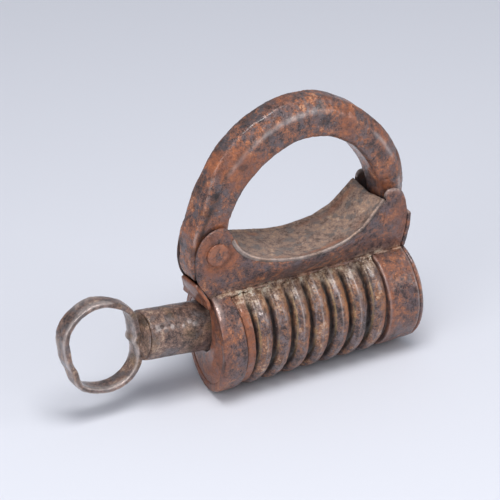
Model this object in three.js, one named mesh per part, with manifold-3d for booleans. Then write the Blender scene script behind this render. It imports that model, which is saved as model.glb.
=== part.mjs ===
// An old forged-iron padlock of the screw-key kind, unlocked, with its key screwed home.
//
// A barrel lies along X and is wound with a helical bar between two end bands.  Two flared cheeks stand
// on it and carry a boat-shaped saddle plate.  The arched shackle hinges on a rivet between the left ears
// and its toe drops between the right ears into the barrel.  Inside, a sprung bolt slides on an axis that
// is tilted a little against the barrel's: the key's nut screws on to the bolt's thread and draws it back.
//
// The working frame has its origin on the barrel's axis at the left band's end face: X runs along the
// barrel to the toe end, Y to the rear and Z up.  Lengths are millimetres, angles radians.
import * as THREE from "three";
import { mergeVertices } from "three/addons/utils/BufferGeometryUtils.js";
import Module from "manifold-3d";

const wasm = await Module();
wasm.setup();

// ---- driving dimensions ----
const GAP = 0.3; // between pieces that are brazed or rest on each other

const BARREL_LENGTH = 80;
const TUBE_OUTER = 17.4;
const TUBE_INNER = 15.6;
const WINDING_PITCH = 8.3; // one turn's advance along X
const WINDING_START = 10.3; // middle of the bar where it starts, a little past the bottom
const WINDING_START_TURN = 0.53; // from the top, by way of the rear
const WINDING_TURNS = 6.37;
const RIB_CREST = 20.4;
const HINGE_BAND_OUTER = 20.8;
const HINGE_BAND_LENGTH = 6.2;
const TOE_BAND_OUTER = 20.3;
const TOE_BAND_START = 67;
const END_PLATE = 2.2; // thickness of the toe end's disc and strap

const MECHANISM_ORIGIN_X = 50; // where the bolt's axis crosses the barrel's
const MECHANISM_TILT = THREE.MathUtils.degToRad(6.2);

const PIVOT = { x: -1.5, z: 37.6 };
const RIVET_RADIUS = 3.2;
const SEAM = { y: 6.3, z: 20.6 }; // where a cheek's outer face meets the winding
const CHEEK_SHEET = 1.7;
const SADDLE_SHEET = 1.8;

const ARCH_CENTRE = { x: 36.2, z: 44.6 }; // the shackle's arch
const TOE_INNER = 73.4; // the toe's faces are arcs about the pivot
const TOE_OUTER = 80.5;
const TOE_WIDTH = 9;
const TOE_BOTTOM_ANGLE = THREE.MathUtils.degToRad(35.5);

const BOLT_RADIUS = 3.8;
const STEM_OUTER = 9.56;
const STEM_INNER = 7.3;
const STEM_NOSE = -29.5; // along the bolt's axis, towards the toe
const STEM_TAIL = -80.9;
const BOW_CENTRE = { s: -98.9, z: -0.6 };

// ---- finishes ----
const finish = (color, roughness, metalness) => ({ color, roughness, metalness });
const FORGED_IRON = finish(0x6b3a26, 0.55, 0.55);
const BARREL_IRON = finish(0x5a3a30, 0.5, 0.6);
const SHACKLE_IRON = finish(0x70402a, 0.5, 0.6);
const KEY_IRON = finish(0x5b4230, 0.4, 0.7);
const INNER_IRON = finish(0x3d332e, 0.6, 0.7);
const SPRING_STEEL = finish(0x4a4a4e, 0.45, 0.8);

const part = new THREE.Group();
const lock = new THREE.Group();
const mechanism = new THREE.Group(); // local X runs along the bolt's axis to the toe
mechanism.position.x = MECHANISM_ORIGIN_X;
mechanism.rotation.y = MECHANISM_TILT;
lock.add(mechanism);
part.add(lock);
mechanism.updateMatrix();

// ---- solids ----
// A geometry as a manifold solid, turned right side out.
function solid(geometry) {
  const bare = geometry.index ? geometry.toNonIndexed() : geometry.clone();
  bare.deleteAttribute("normal");
  bare.deleteAttribute("uv");
  const merged = mergeVertices(bare, 1e-4);
  const build = (triVerts) =>
    new wasm.Manifold(new wasm.Mesh({ numProp: 3, vertProperties: merged.attributes.position.array, triVerts }));
  const kept = [];
  const index = merged.index.array;
  for (let i = 0; i < index.length; i += 3) {
    const [a, b, c] = index.slice(i, i + 3);
    if (a !== b && b !== c && c !== a) kept.push(a, b, c);
  }
  const made = build(new Uint32Array(kept));
  if (made.volume() > 0) return made;
  for (let i = 0; i < kept.length; i += 3) [kept[i + 1], kept[i + 2]] = [kept[i + 2], kept[i + 1]];
  return build(new Uint32Array(kept));
}

// The geometry of a manifold solid.
function geometryOf(body) {
  const { vertProperties, triVerts, numProp } = body.getMesh();
  const positions = new Float32Array((vertProperties.length / numProp) * 3);
  for (let i = 0; i < positions.length / 3; i++)
    positions.set(vertProperties.subarray(i * numProp, i * numProp + 3), i * 3);
  const geometry = new THREE.BufferGeometry();
  geometry.setAttribute("position", new THREE.BufferAttribute(positions, 3));
  geometry.setIndex(new THREE.BufferAttribute(triVerts, 1));
  geometry.computeVertexNormals();
  return geometry;
}

// Puts a named piece into a group with its own finish.
function add(group, name, body, look) {
  const mesh = new THREE.Mesh(geometryOf(body), new THREE.MeshStandardMaterial(look));
  mesh.name = name;
  group.add(mesh);
}

// A profile of [x, radius] turned about the X axis.
function turned(profile, segments = 40) {
  const points = profile.map(([x, radius]) => new THREE.Vector2(radius, x));
  return solid(new THREE.LatheGeometry(points, segments).rotateZ(-Math.PI / 2));
}

// A ring or tube about the X axis.
function ring(x0, x1, inner, outer, segments = 40) {
  return turned([[x0, inner], [x1, inner], [x1, outer], [x0, outer], [x0, inner]], segments);
}

// A solid bar about the X axis.
function bar(x0, x1, radius, segments = 40) {
  return turned([[x0, 0], [x0, radius], [x1, radius], [x1, 0]], segments);
}

// A bar along Y through (x, z).
function crossBar(x, z, radius, halfLength, segments = 32) {
  const geometry = new THREE.CylinderGeometry(radius, radius, 2 * halfLength, segments);
  return solid(geometry.translate(x, 0, z));
}

// A box from one corner to the other.
function block(low, high) {
  const size = high.map((value, i) => value - low[i]);
  const middle = high.map((value, i) => (value + low[i]) / 2);
  return solid(new THREE.BoxGeometry(...size).translate(...middle));
}

// Moves a solid from the mechanism's tilted frame to the lock's.
function fromMechanism(body) {
  return solid(geometryOf(body).applyMatrix4(mechanism.matrix));
}

// A body through a row of closed rings of points, with a fan at each end or joined end to end.
function loft(rings, closed = false) {
  const count = rings[0].length;
  const positions = [];
  const face = (a, b, c) => positions.push(...a, ...b, ...c);
  const spans = closed ? rings.length : rings.length - 1;
  for (let i = 0; i < spans; i++) {
    const near = rings[i];
    const far = rings[(i + 1) % rings.length];
    for (let j = 0; j < count; j++) {
      const k = (j + 1) % count;
      face(near[j], near[k], far[k]);
      face(near[j], far[k], far[j]);
    }
  }
  const fan = (points, flip) => {
    const middle = [0, 1, 2].map((axis) => points.reduce((sum, point) => sum + point[axis], 0) / count);
    for (let j = 0; j < count; j++) {
      const k = (j + 1) % count;
      if (flip) face(middle, points[k], points[j]);
      else face(middle, points[j], points[k]);
    }
  };
  if (!closed) {
    fan(rings[0], true);
    fan(rings[rings.length - 1], false);
  }
  const geometry = new THREE.BufferGeometry();
  geometry.setAttribute("position", new THREE.Float32BufferAttribute(positions, 3));
  return solid(geometry);
}

// A curved sheet between two grids of points that face each other, closed round its edges.
function sheet(outer, inner) {
  const rows = outer.length;
  const columns = outer[0].length;
  const rings = [];
  for (let i = 0; i < rows; i++) rings.push([...outer[i], ...inner[i].slice().reverse()]);
  const count = rings[0].length;
  const positions = [];
  const quad = (a, b, c, d) => positions.push(...a, ...b, ...c, ...a, ...c, ...d);
  for (let i = 0; i + 1 < rows; i++)
    for (let j = 0; j < count; j++) {
      const k = (j + 1) % count;
      quad(rings[i][j], rings[i][k], rings[i + 1][k], rings[i + 1][j]);
    }
  for (let j = 0; j + 1 < columns; j++) {
    quad(outer[0][j + 1], outer[0][j], inner[0][j], inner[0][j + 1]);
    const last = rows - 1;
    quad(outer[last][j], outer[last][j + 1], inner[last][j + 1], inner[last][j]);
  }
  const geometry = new THREE.BufferGeometry();
  geometry.setAttribute("position", new THREE.Float32BufferAttribute(positions, 3));
  return solid(geometry);
}

// A smooth value along knots of [x, value].
function along(knots, x) {
  const last = knots.length - 1;
  if (x <= knots[0][0]) return knots[0][1];
  if (x >= knots[last][0]) return knots[last][1];
  const slope = (i) => {
    const [x0, y0] = knots[Math.max(i - 1, 0)];
    const [x1, y1] = knots[Math.min(i + 1, last)];
    return (y1 - y0) / (x1 - x0);
  };
  const i = knots.findIndex(([knot]) => knot > x) - 1;
  const [x0, y0] = knots[i];
  const [x1, y1] = knots[i + 1];
  const span = x1 - x0;
  const t = (x - x0) / span;
  const t2 = t * t;
  const t3 = t2 * t;
  const start = (2 * t3 - 3 * t2 + 1) * y0 + (t3 - 2 * t2 + t) * span * slope(i);
  return start + (-2 * t3 + 3 * t2) * y1 + (t3 - t2) * span * slope(i + 1);
}

// A helical wire about the X axis: section points are [x, radius] offsets from the helix.
function helix(section, start, pitch, turns, steps, startTurn = 0) {
  const rings = [];
  const total = Math.round(turns * steps);
  for (let i = 0; i <= total; i++) {
    const turn = i / steps;
    const angle = (startTurn + turn) * 2 * Math.PI;
    rings.push(section.map(([dx, radius]) => [
      start + pitch * turn + dx,
      radius * Math.sin(angle),
      radius * Math.cos(angle),
    ]));
  }
  return loft(rings);
}

// ---- barrel ----
const TOE_SLOT = block([68.2, -TOE_WIDTH / 2 - 0.7, 8], [77.7, TOE_WIDTH / 2 + 0.7, 26]);

function barrelTube() {
  return ring(GAP, BARREL_LENGTH - GAP, TUBE_INNER, TUBE_OUTER).subtract(TOE_SLOT);
}

// A half-round bar wound on edge round the tube, seven crests along the front.
function barrelWinding() {
  const base = TUBE_OUTER + GAP;
  const section = [[-3.5, base], [-3, 19.2], [-1, RIB_CREST], [1, RIB_CREST], [3, 19.2], [3.5, base]];
  return helix(section, WINDING_START, WINDING_PITCH, WINDING_TURNS, 24, WINDING_START_TURN);
}

// The band at the key end, with a rounded inner edge.
function hingeEndBand() {
  const inner = TUBE_OUTER + GAP;
  return turned([
    [GAP, inner], [HINGE_BAND_LENGTH, inner], [HINGE_BAND_LENGTH, HINGE_BAND_OUTER - 1.4],
    [HINGE_BAND_LENGTH - 0.9, HINGE_BAND_OUTER], [GAP, HINGE_BAND_OUTER], [GAP, inner],
  ]);
}

// A shallow dished plate that closes the key end, with the key's hole off its centre.
function keyholePlate() {
  const rim = HINGE_BAND_OUTER;
  const plate = turned([[0, 0], [0, rim], [-0.8, rim - 0.6], [-3.9, 13], [-3.9, 0]]);
  const hollow = turned([[0.2, 0], [0.2, 16], [-1.9, 12], [-1.9, 0]]);
  const hole = fromMechanism(bar(STEM_TAIL, STEM_NOSE, STEM_OUTER + 0.45, 40));
  return plate.subtract(hollow).subtract(hole);
}

function toeEndBand() {
  return ring(TOE_BAND_START, BARREL_LENGTH - GAP, TUBE_OUTER + GAP, TOE_BAND_OUTER).subtract(TOE_SLOT);
}

function toeEndPlate() {
  return bar(BARREL_LENGTH, BARREL_LENGTH + END_PLATE, TOE_BAND_OUTER);
}

// ---- neck: cheeks, saddle and end straps ----
const HALF_WIDTH = [
  [-10, 7.6], [2, 7.6], [5, 7.9], [8, 9.3], [11.5, 11.2], [16, 12.6], [23, 13.4],
  [32, 13.4], [45, 13], [59, 11.9], [67, 10.9], [71, 11], [80, 10.6],
];
const SADDLE_RIM = new THREE.SplineCurve([
  [7.5, 38.4], [8.6, 36.9], [11.5, 35], [16, 33.5], [22.7, 32], [31.6, 30.5],
  [39, 30.4], [45.4, 30.9], [51.7, 32], [59, 35], [66.6, 42], [68.4, 44],
].map(([x, z]) => new THREE.Vector2(x, z)));
const NECK_START = -4.2; // the neck's foot overhangs the key end
const FULL_FLARE_Z = [[-10, 37], [6, 37], [10, 35], [31, 30.5], [45, 31], [60, 36], [70, 40], [80, 40]];

// A cheek's outer half-width at a place on it: it leans out from the seam to the saddle's rim.
function cheekHalfWidth(x, z) {
  const rise = THREE.MathUtils.clamp((z - SEAM.z) / (along(FULL_FLARE_Z, x) - SEAM.z), 0, 1);
  return SEAM.y + (along(HALF_WIDTH, x) - SEAM.y) * Math.sin((rise * Math.PI) / 2);
}

// A point of the saddle's rim, and the way down through the plate there.
function saddlePoint(t, depth = 0) {
  const { x, y: z } = SADDLE_RIM.getPointAt(t);
  const { x: dx, y: dz } = SADDLE_RIM.getTangentAt(t);
  return [x + dz * depth, z - dx * depth];
}

// The upper outline of a cheek from its left corner: hinge ear, under the saddle, toe ear.
function cheekTop() {
  const outline = [
    [-8.6, 26], [-9.8, 28.8], [-10.4, 33], [-10.3, 37.6], [-9.5, 41.4], [-7.6, 44.6], [-4.8, 46.9],
    [-1.2, 47.7], [2.2, 47.3], [4.4, 45.2], [5.3, 42.6], [6.1, 40.3],
  ];
  const underSaddle = 13;
  for (let i = 0; i <= underSaddle; i++) outline.push(saddlePoint(i / underSaddle, SADDLE_SHEET + 1));
  outline.push([71, 43.2], [70.1, 44.6], [70, 46.1], [71.3, 47.3], [73.8, 46.7]);
  outline.push([76.2, 44.6], [77.6, 41.4], [79.2, 37.8], [79.7, 34.5]);
  return outline;
}

function cheek(side) {
  const top = cheekTop();
  const rows = 4;
  const outer = [];
  const inner = [];
  top.forEach(([x, z], i) => {
    const footX = THREE.MathUtils.lerp(NECK_START, BARREL_LENGTH - GAP, i / (top.length - 1));
    const column = { outer: [], inner: [] };
    for (let j = 0; j <= rows; j++) {
      const px = THREE.MathUtils.lerp(footX, x, j / rows);
      const pz = THREE.MathUtils.lerp(SEAM.z, z, j / rows);
      const y = cheekHalfWidth(px, pz);
      column.outer.push([px, side * y, pz]);
      column.inner.push([px, side * (y - CHEEK_SHEET), pz]);
    }
    outer.push(column.outer);
    inner.push(column.inner);
  });
  return sheet(outer, inner).subtract(crossBar(PIVOT.x, PIVOT.z, RIVET_RADIUS + GAP, 20));
}

// The saddle: a plate bent up at both ends, dished across, with its long edges turned up a little.
function saddlePlate() {
  const lengthwise = 22;
  const across = 8;
  const dish = 1.2;
  const face = (depth) => {
    const grid = [];
    for (let i = 0; i <= lengthwise; i++) {
      const [x, z] = saddlePoint(i / lengthwise, depth);
      const width = along(HALF_WIDTH, SADDLE_RIM.getPointAt(i / lengthwise).x);
      const row = [];
      for (let j = 0; j <= across; j++) {
        const u = -1 + (2 * j) / across;
        row.push([x, u * width, z - dish * (1 - u ** 4)]);
      }
      grid.push(row);
    }
    return grid;
  };
  return sheet(face(0), face(SADDLE_SHEET));
}

// An outline of [x, z] points made a plate across Y.
function plateAcross(outline, halfWidth) {
  const shape = new THREE.Shape(outline.map(([x, z]) => new THREE.Vector2(x, z)));
  const geometry = new THREE.ExtrudeGeometry(shape, { depth: 2 * halfWidth, bevelEnabled: false });
  return solid(geometry.rotateX(Math.PI / 2).translate(0, halfWidth, 0));
}

// The strap that closes the neck below the hinge: it leans out from over the keyhole, between the
// cheeks, and stops just clear of the shackle's swinging tail.
function hingeEndStrap() {
  const foot = [NECK_START + 0.6, SEAM.z + 0.35];
  const lean = new THREE.Vector2(-5, 5.8).normalize();
  const [length, thick] = [7.5, 1.6];
  const at = (rise, depth) => [foot[0] + lean.x * rise - lean.y * depth, foot[1] + lean.y * rise + lean.x * depth];
  const outline = [at(0, 0), at(length, 0), at(length, thick), at(0, thick)];
  return plateAcross(outline, SEAM.y - CHEEK_SHEET - GAP);
}

// The wall that closes the neck beyond the toe.
function toeEndStrap() {
  const outline = [[-6.4, 20.8], [6.4, 20.8], [9.6, 30], [10.3, 34.6], [9.3, 35.7], [-9.3, 35.7], [-10.3, 34.6], [-9.6, 30]];
  const shape = new THREE.Shape(outline.map(([y, z]) => new THREE.Vector2(y, z)));
  const geometry = new THREE.ExtrudeGeometry(shape, { depth: END_PLATE, bevelEnabled: false });
  const upright = new THREE.Matrix4().makeBasis(
    new THREE.Vector3(0, 1, 0), new THREE.Vector3(0, 0, 1), new THREE.Vector3(1, 0, 0),
  );
  return solid(geometry.applyMatrix4(upright).translate(BARREL_LENGTH, 0, 0));
}

// The hinge's rivet: a straight shank with a low dome at each end.
function hingeRivet() {
  const headRadius = 5.25;
  const under = 8.2;
  const dome = [[headRadius, under], [headRadius, under + 0.5], [4.1, under + 1.3], [2.2, under + 1.8], [0, under + 2]];
  const upper = [[RIVET_RADIUS, under], ...dome];
  const lower = upper.map(([radius, y]) => [radius, -y]).reverse();
  const points = [...lower, ...upper].map(([radius, y]) => new THREE.Vector2(radius, y));
  return solid(new THREE.LatheGeometry(points, 32).translate(PIVOT.x, 0, PIVOT.z));
}

// ---- plates inside the barrel ----
function innerPlate(x0, x1, holeRadius) {
  const hole = fromMechanism(bar(-40, 20, holeRadius));
  return bar(x0, x1, TUBE_INNER - GAP, 40).subtract(hole);
}

// ---- shackle ----
// A rounded section: centre, the outward radial direction in the XZ plane, radial and Y sizes.
function shackleRing(x, z, radialX, radialZ, radial, wide) {
  const points = [];
  const count = 10;
  const roundness = 0.5; // of a superellipse, between round and square
  for (let j = 0; j < count; j++) {
    const angle = ((j + 0.5) / count) * 2 * Math.PI;
    const shaped = (value) => Math.sign(value) * Math.abs(value) ** roundness;
    const out = (radial / 2) * shaped(Math.cos(angle));
    points.push([x + radialX * out, (wide / 2) * shaped(Math.sin(angle)), z + radialZ * out]);
  }
  return points;
}

// Upright stretches as [height, outer X, inner X, width]: the leg with its tail below the pivot,
// and the shoulder that stands over the toe.
const LEG = [
  [27.3, -9.2, -8.4, 6], [28.2, -10, -6.4, 9.4], [30.2, -10.4, -4.4, 10], [32.2, -10.6, 2, 10],
  [34, -10.7, 3.6, 10], [37.6, -10.8, 5, 10], [41, -10.8, 4.6, 10],
];
const SHOULDER = [
  [42.5, 82.1, 70.9, 12.4], [40, 82, 71.3, 11.8], [38.2, 81.2, 72, 10.8], [37, 80.2, 73, 9.6],
];
// The arch's inner and outer radius and its width, by degrees up from the toe's side.
const ARCH_INNER = [
  [0, 34.6], [4, 34], [14, 32.6], [26, 31.8], [50, 30.8], [76, 29.7], [90, 29.3], [134, 29.6],
  [150, 29.8], [164, 30.4], [180, 31.7],
];
const ARCH_OUTER = [
  [0, 45.9], [14, 45], [26, 44.2], [38, 43.8], [50, 43.6], [76, 44.4], [104, 43.7], [118, 42.9],
  [134, 42.6], [150, 42.9], [164, 43.6], [172, 44.7], [180, 46.9],
];
const ARCH_WIDTH = [[0, 12.6], [26, 13], [76, 14], [104, 14.4], [118, 14.2], [134, 13.6], [150, 12.2], [164, 11.2], [180, 10.4]];

function shackle() {
  const upright = ([z, outer, inner, wide]) =>
    shackleRing((outer + inner) / 2, z, Math.sign(outer), 0, Math.abs(outer - inner), wide);
  const rings = LEG.map(upright);
  const arcSteps = 26;
  for (let i = 0; i <= arcSteps; i++) {
    const degrees = 180 * (1 - i / arcSteps);
    const angle = THREE.MathUtils.degToRad(degrees);
    const [inner, outer] = [along(ARCH_INNER, degrees), along(ARCH_OUTER, degrees)];
    const middle = (inner + outer) / 2;
    const [cos, sin] = [Math.cos(angle), Math.sin(angle)];
    rings.push(shackleRing(
      ARCH_CENTRE.x + middle * cos, ARCH_CENTRE.z + middle * sin, cos, sin, outer - inner, along(ARCH_WIDTH, degrees),
    ));
  }
  rings.push(...SHOULDER.map(upright));
  const toeSteps = 8;
  for (let i = 0; i <= toeSteps; i++) {
    const angle = THREE.MathUtils.lerp(0.045, TOE_BOTTOM_ANGLE, i / toeSteps);
    const middle = (TOE_INNER + TOE_OUTER) / 2;
    const [cos, sin] = [Math.cos(angle), -Math.sin(angle)];
    rings.push(shackleRing(PIVOT.x + middle * cos, PIVOT.z + middle * sin, cos, sin, TOE_OUTER - TOE_INNER, TOE_WIDTH));
  }
  const knuckle = crossBar(PIVOT.x, PIVOT.z, 6.7, 5);
  const rivetHole = crossBar(PIVOT.x, PIVOT.z, RIVET_RADIUS + GAP, 20);
  const boltHole = fromMechanism(bar(4, 26, BOLT_RADIUS + 0.5));
  return loft(rings).add(knuckle).subtract(rivetHole).subtract(boltHole);
}

// ---- bolt, along the mechanism's axis ----
const FLANGE = { start: -9.3, end: -6.3 };
const PIN_RADIUS = 0.9;

function pinHole(radius, halfLength) {
  const geometry = new THREE.CylinderGeometry(radius, radius, 2 * halfLength, 16).rotateX(Math.PI / 2);
  return solid(geometry.translate((FLANGE.start + FLANGE.end) / 2, 0, 0));
}

// The bolt: a bar with a thinner shank for the thread and a chamfered nose.
function boltRod() {
  const shank = 2.2;
  const nose = 9.8;
  return turned([
    [-44, 0], [-44, shank - 0.6], [-43.4, shank], [-12, shank], [-10.8, BOLT_RADIUS],
    [nose - 1, BOLT_RADIUS], [nose, BOLT_RADIUS - 1], [nose, 0],
  ], 24).subtract(pinHole(PIN_RADIUS + GAP, 20));
}

// The male thread: a wire wound and brazed round the shank.
function boltThread() {
  const base = 2.2 + GAP;
  return helix([[-0.5, base], [-0.5, base + 0.9], [0.5, base + 0.9], [0.5, base]], -42.6, 3.2, 4.8, 16);
}

function boltFlange() {
  return ring(FLANGE.start, FLANGE.end, BOLT_RADIUS + GAP, 8.2, 32).subtract(pinHole(PIN_RADIUS + GAP, 20));
}

// A coil spring between the stop plate and the flange, in a section of six sides.
function boltSpring() {
  const coil = 5.7;
  const wire = 0.75;
  const section = [];
  for (let j = 0; j < 6; j++) {
    const angle = (j / 6) * 2 * Math.PI;
    section.push([wire * Math.cos(angle), coil + wire * Math.sin(angle)]);
  }
  return helix(section, -23.8, 2.95, 4.5, 16);
}

// ---- key, along the mechanism's axis ----
// A strip bent by eye to a leaning oval, flatter on its far side, whose two ends meet at the stem
// and turn in a little.
function keyBow() {
  const strip = { thick: 2.3, wide: 7.4 };
  const steps = 40;
  const bump = (angle, at, width) => {
    const apart = Math.abs(((angle - at + 3 * Math.PI) % (2 * Math.PI)) - Math.PI);
    return Math.exp(-((apart / width) ** 2));
  };
  const centreLine = (angle) => {
    const oval = 17.1 + 2 * Math.cos(2 * (angle - 2.25));
    const fold = 2.3 * bump(angle, 0.02, 0.55);
    const radius = oval - fold - 1.7 * bump(angle, 3.15, 0.35) + 1.3 * bump(angle, 4.15, 0.45);
    return [BOW_CENTRE.s + radius * Math.cos(angle), BOW_CENTRE.z + radius * Math.sin(angle)];
  };
  const rings = [];
  for (let i = 0; i < steps; i++) {
    const angle = ((i + 0.5) / steps) * 2 * Math.PI;
    const [x, z] = centreLine(angle);
    const [nextX, nextZ] = centreLine(angle + 0.01);
    const length = Math.hypot(nextX - x, nextZ - z);
    const [outX, outZ] = [(nextZ - z) / length, -(nextX - x) / length];
    const corner = (depth, y) => [x + outX * depth, y, z + outZ * depth];
    const [half, side] = [strip.thick / 2, strip.wide / 2];
    rings.push([
      corner(-half, -side + 0.7), corner(-half, side - 0.7), corner(-half + 0.7, side),
      corner(half - 0.7, side), corner(half, side - 0.7), corner(half, -side + 0.7),
      corner(half - 0.7, -side), corner(-half + 0.7, -side),
    ]);
  }
  return loft(rings, true);
}

function keyStem() {
  return ring(STEM_TAIL, STEM_NOSE, STEM_INNER, STEM_OUTER, 40);
}

// The plug that closes the stem's tail, domed towards the bow.
function keyEndPlug() {
  const face = STEM_TAIL - GAP;
  return turned([
    [STEM_TAIL + 3, 0], [STEM_TAIL + 3, STEM_INNER - GAP], [face, STEM_INNER - GAP],
    [face, STEM_OUTER - 0.6], [face - 0.4, STEM_OUTER - 1.6], [face - 0.5, 0],
  ], 40);
}

// The threaded bush in the key's nose: its bore clears the crest of the bolt's thread.
function keyNut() {
  return ring(STEM_NOSE - 10.5, STEM_NOSE - 0.5, 3.9, STEM_INNER - GAP, 32);
}

// ---- assembly ----
add(lock, "barrel_tube", barrelTube(), BARREL_IRON);
add(lock, "barrel_winding", barrelWinding(), BARREL_IRON);
add(lock, "hinge_end_band", hingeEndBand(), FORGED_IRON);
add(lock, "keyhole_plate", keyholePlate(), FORGED_IRON);
add(lock, "toe_end_band", toeEndBand(), FORGED_IRON);
add(lock, "toe_end_plate", toeEndPlate(), FORGED_IRON);
add(lock, "front_cheek", cheek(-1), FORGED_IRON);
add(lock, "rear_cheek", cheek(1), FORGED_IRON);
add(lock, "saddle_plate", saddlePlate(), FORGED_IRON);
add(lock, "hinge_end_strap", hingeEndStrap(), FORGED_IRON);
add(lock, "toe_end_strap", toeEndStrap(), FORGED_IRON);
add(lock, "hinge_rivet", hingeRivet(), SHACKLE_IRON);
add(lock, "key_stop_plate", innerPlate(22, 24.5, 4.6), INNER_IRON);
add(lock, "bolt_guide_plate", innerPlate(55.5, 58, BOLT_RADIUS + 0.4), INNER_IRON);
add(lock, "shackle", shackle(), SHACKLE_IRON);

add(mechanism, "bolt_rod", boltRod(), INNER_IRON);
add(mechanism, "bolt_thread", boltThread(), INNER_IRON);
add(mechanism, "bolt_flange", boltFlange(), INNER_IRON);
add(mechanism, "bolt_flange_pin", pinHole(PIN_RADIUS, 7.8), INNER_IRON);
add(mechanism, "bolt_spring", boltSpring(), SPRING_STEEL);
add(mechanism, "key_stem", keyStem(), KEY_IRON);
add(mechanism, "key_bow", keyBow(), KEY_IRON);
add(mechanism, "key_end_plug", keyEndPlug(), KEY_IRON);
add(mechanism, "key_nut", keyNut(), KEY_IRON);

// The part's origin is under the middle of its own box, where the barrel rests.
lock.updateMatrixWorld(true);
const box = new THREE.Box3().setFromObject(lock, true);
lock.position.set(-(box.min.x + box.max.x) / 2, -(box.min.y + box.max.y) / 2, -box.min.z);

export default part;
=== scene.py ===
import math

import bpy
import numpy as np
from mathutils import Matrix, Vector


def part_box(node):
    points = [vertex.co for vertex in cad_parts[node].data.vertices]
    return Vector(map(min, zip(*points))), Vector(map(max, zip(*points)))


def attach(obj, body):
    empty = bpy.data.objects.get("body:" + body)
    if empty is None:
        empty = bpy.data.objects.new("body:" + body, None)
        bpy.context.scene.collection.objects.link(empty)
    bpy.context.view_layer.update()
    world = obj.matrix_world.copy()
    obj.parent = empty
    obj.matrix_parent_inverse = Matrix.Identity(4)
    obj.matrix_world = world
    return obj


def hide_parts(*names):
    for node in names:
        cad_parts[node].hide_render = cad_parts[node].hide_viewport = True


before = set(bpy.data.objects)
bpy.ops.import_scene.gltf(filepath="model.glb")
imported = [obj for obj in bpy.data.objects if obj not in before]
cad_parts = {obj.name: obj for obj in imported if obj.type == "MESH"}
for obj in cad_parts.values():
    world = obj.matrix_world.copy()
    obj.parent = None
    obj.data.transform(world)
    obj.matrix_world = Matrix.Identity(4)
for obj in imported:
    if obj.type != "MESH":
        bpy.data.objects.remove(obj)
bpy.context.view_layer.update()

# ---------------------------------------------------------------------------
# The lock's own frame.  Lengths below are millimetres from the point where the
# barrel's axis meets the key end's rim: X to the toe end, Y to the rear, Z up.
# ---------------------------------------------------------------------------
MM = 0.001
rim_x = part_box("hinge_end_band")[0].x - 0.3 * MM
toe_plate_low, toe_plate_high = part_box("toe_end_plate")
axis_z = (toe_plate_low.z + toe_plate_high.z) / 2
ORIGIN = np.array([rim_x, 0, axis_z])


def row_frame(points):
    """Points in millimetres in the lock's frame, scaled to metres and moved to the part's frame."""
    return np.asarray(points, float) * MM + ORIGIN


# ---------------------------------------------------------------------------
# Studio: a pale floor under the barrel, an even pale sky, and three soft lamps,
# above and towards each end.  A long lens looks down on the key end.
# ---------------------------------------------------------------------------
scene = bpy.context.scene
scene.view_settings.view_transform = "Standard"

azimuth, elevation = math.radians(-31.03), math.radians(27.06)
distance = 1.41
aim = Vector(row_frame([16.9, 0, 31.6]))
back = Vector((
    math.sin(azimuth) * math.cos(elevation),
    -math.cos(azimuth) * math.cos(elevation),
    math.sin(elevation),
))
camera_data = bpy.data.cameras.new("camera")
camera_data.sensor_width = 36
camera_data.lens = 36 * distance / 0.186
camera_data.clip_end = 20
camera = bpy.data.objects.new("camera", camera_data)
camera.location = aim + back * distance
camera.rotation_euler = back.to_track_quat("Z", "Y").to_euler()
scene.collection.objects.link(camera)
scene.camera = camera


class Signal:
    """A value that varies over a surface: one node socket, whose arithmetic adds Math nodes."""

    def __init__(self, finish, socket):
        self.finish = finish
        self.socket = socket

    def math(self, operation, *values, clamp=False):
        settings = {"operation": operation, "use_clamp": clamp}
        return self.finish.node("ShaderNodeMath", settings, dict(enumerate(values)))

    def __add__(self, other):
        return self.math("ADD", self, other)

    def __sub__(self, other):
        return self.math("SUBTRACT", self, other)

    def __mul__(self, other):
        return self.math("MULTIPLY", self, other)

    __radd__ = __add__
    __rmul__ = __mul__

    def step(self, low, high):
        """0 below low, 1 above high, and a smooth rise between them."""
        settings = {"interpolation_type": "SMOOTHSTEP"}
        return self.finish.node("ShaderNodeMapRange", settings, {0: self, 1: low, 2: high})

    def clamped(self):
        return self.math("ADD", self, 0.0, clamp=True)


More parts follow.
